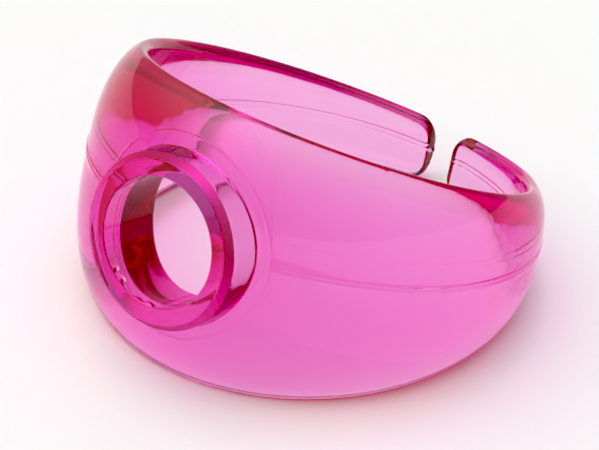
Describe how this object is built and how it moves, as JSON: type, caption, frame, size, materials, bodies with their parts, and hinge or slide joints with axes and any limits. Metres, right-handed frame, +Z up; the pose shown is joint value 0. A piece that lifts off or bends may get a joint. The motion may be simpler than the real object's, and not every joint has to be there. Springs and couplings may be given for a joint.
{
  "type": "clicker trainer finger ring",
  "caption": "Open clear-plastic finger ring whose wide signet front has a raised round collar with a through hole; two springy arms close it behind.",
  "frame": {"origin": "centre of the footprint, on the surface the ring lies on", "axes": "+Z up from the surface the lower rim lies on, -Y towards the signet's socket, +X to the wearer's side named right_arm"},
  "size_m": [0.0214, 0.0224, 0.0127],
  "materials": {
    "clear_pink_plastic": "glossy see-through magenta-pink injection-moulded plastic, deeper crimson where the light path is long"
  },
  "bodies": {
    "signet": {"signet_front": "clear_pink_plastic"},
    "left_arm": {"left_arm": "clear_pink_plastic"},
    "right_arm": {"right_arm": "clear_pink_plastic"}
  },
  "joints": [
    {"name": "left_flex", "type": "hinge", "parent": "signet", "child": "left_arm", "pos_m": [-0.01065, 0.00147, 0.00394], "axis": [0, 0.2562, 0.9666], "range_deg": [-3, 8], "stiffness_Nm_per_rad": 0.05},
    {"name": "right_flex", "type": "hinge", "parent": "signet", "child": "right_arm", "pos_m": [0.01065, 0.00147, 0.00394], "axis": [0, -0.2562, -0.9666], "range_deg": [-3, 8], "stiffness_Nm_per_rad": 0.05}
  ]
}
